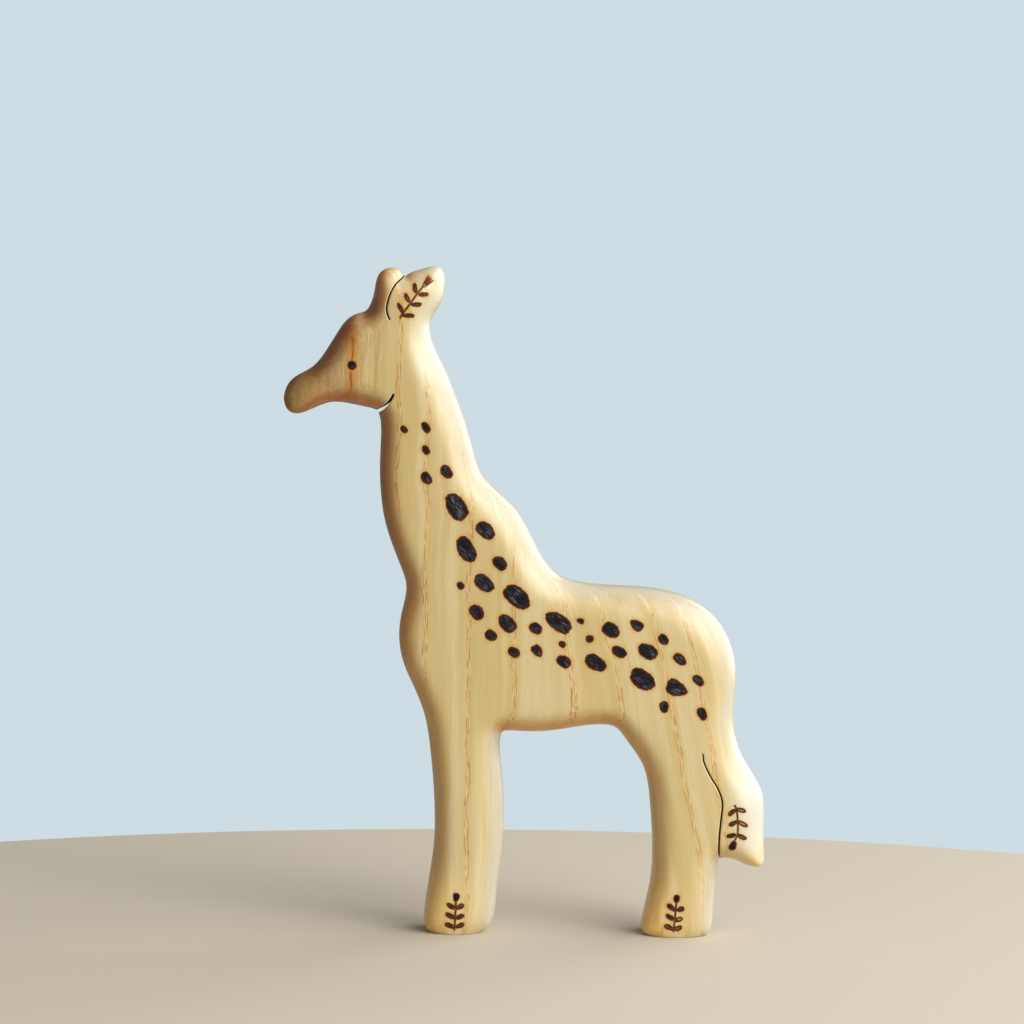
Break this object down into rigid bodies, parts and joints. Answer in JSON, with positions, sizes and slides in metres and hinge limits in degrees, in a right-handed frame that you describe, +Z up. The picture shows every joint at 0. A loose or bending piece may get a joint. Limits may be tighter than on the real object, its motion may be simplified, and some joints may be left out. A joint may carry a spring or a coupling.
{
  "type": "carved giraffe statue",
  "caption": "Standing giraffe cut from one rounded ash board, with saw-cut ear, jaw and tail, burned oval spots, a burned eye and leaf sprigs.",
  "frame": {"origin": "middle of the footprint, on the surface that the soles rest on", "axes": "+Z up, -X towards the muzzle, -Y out of the giraffe's left side, across the board"},
  "size_m": [0.135, 0.022, 0.1847],
  "materials": {
    "ash_wood": "sanded and oiled, satin",
    "burned_wood": "charred, matt, hatched with the burning tip"
  },
  "bodies": {
    "root": {"carved_body": "ash_wood", "ear_flap": "ash_wood", "tail_flap": "ash_wood", "left_eye": "burned_wood", "left_neck_spots": "burned_wood", "left_shoulder_spots": "burned_wood", "left_flank_spots": "burned_wood", "left_rump_spots": "burned_wood", "left_ear_sprig": "burned_wood", "left_front_foot_sprig": "burned_wood", "left_hind_foot_sprig": "burned_wood", "left_tail_sprig": "burned_wood", "right_eye": "burned_wood", "right_neck_spots": "burned_wood", "right_shoulder_spots": "burned_wood", "right_flank_spots": "burned_wood", "right_rump_spots": "burned_wood", "right_ear_sprig": "burned_wood", "right_front_foot_sprig": "burned_wood", "right_hind_foot_sprig": "burned_wood", "right_tail_sprig": "burned_wood"}
  },
  "joints": []
}
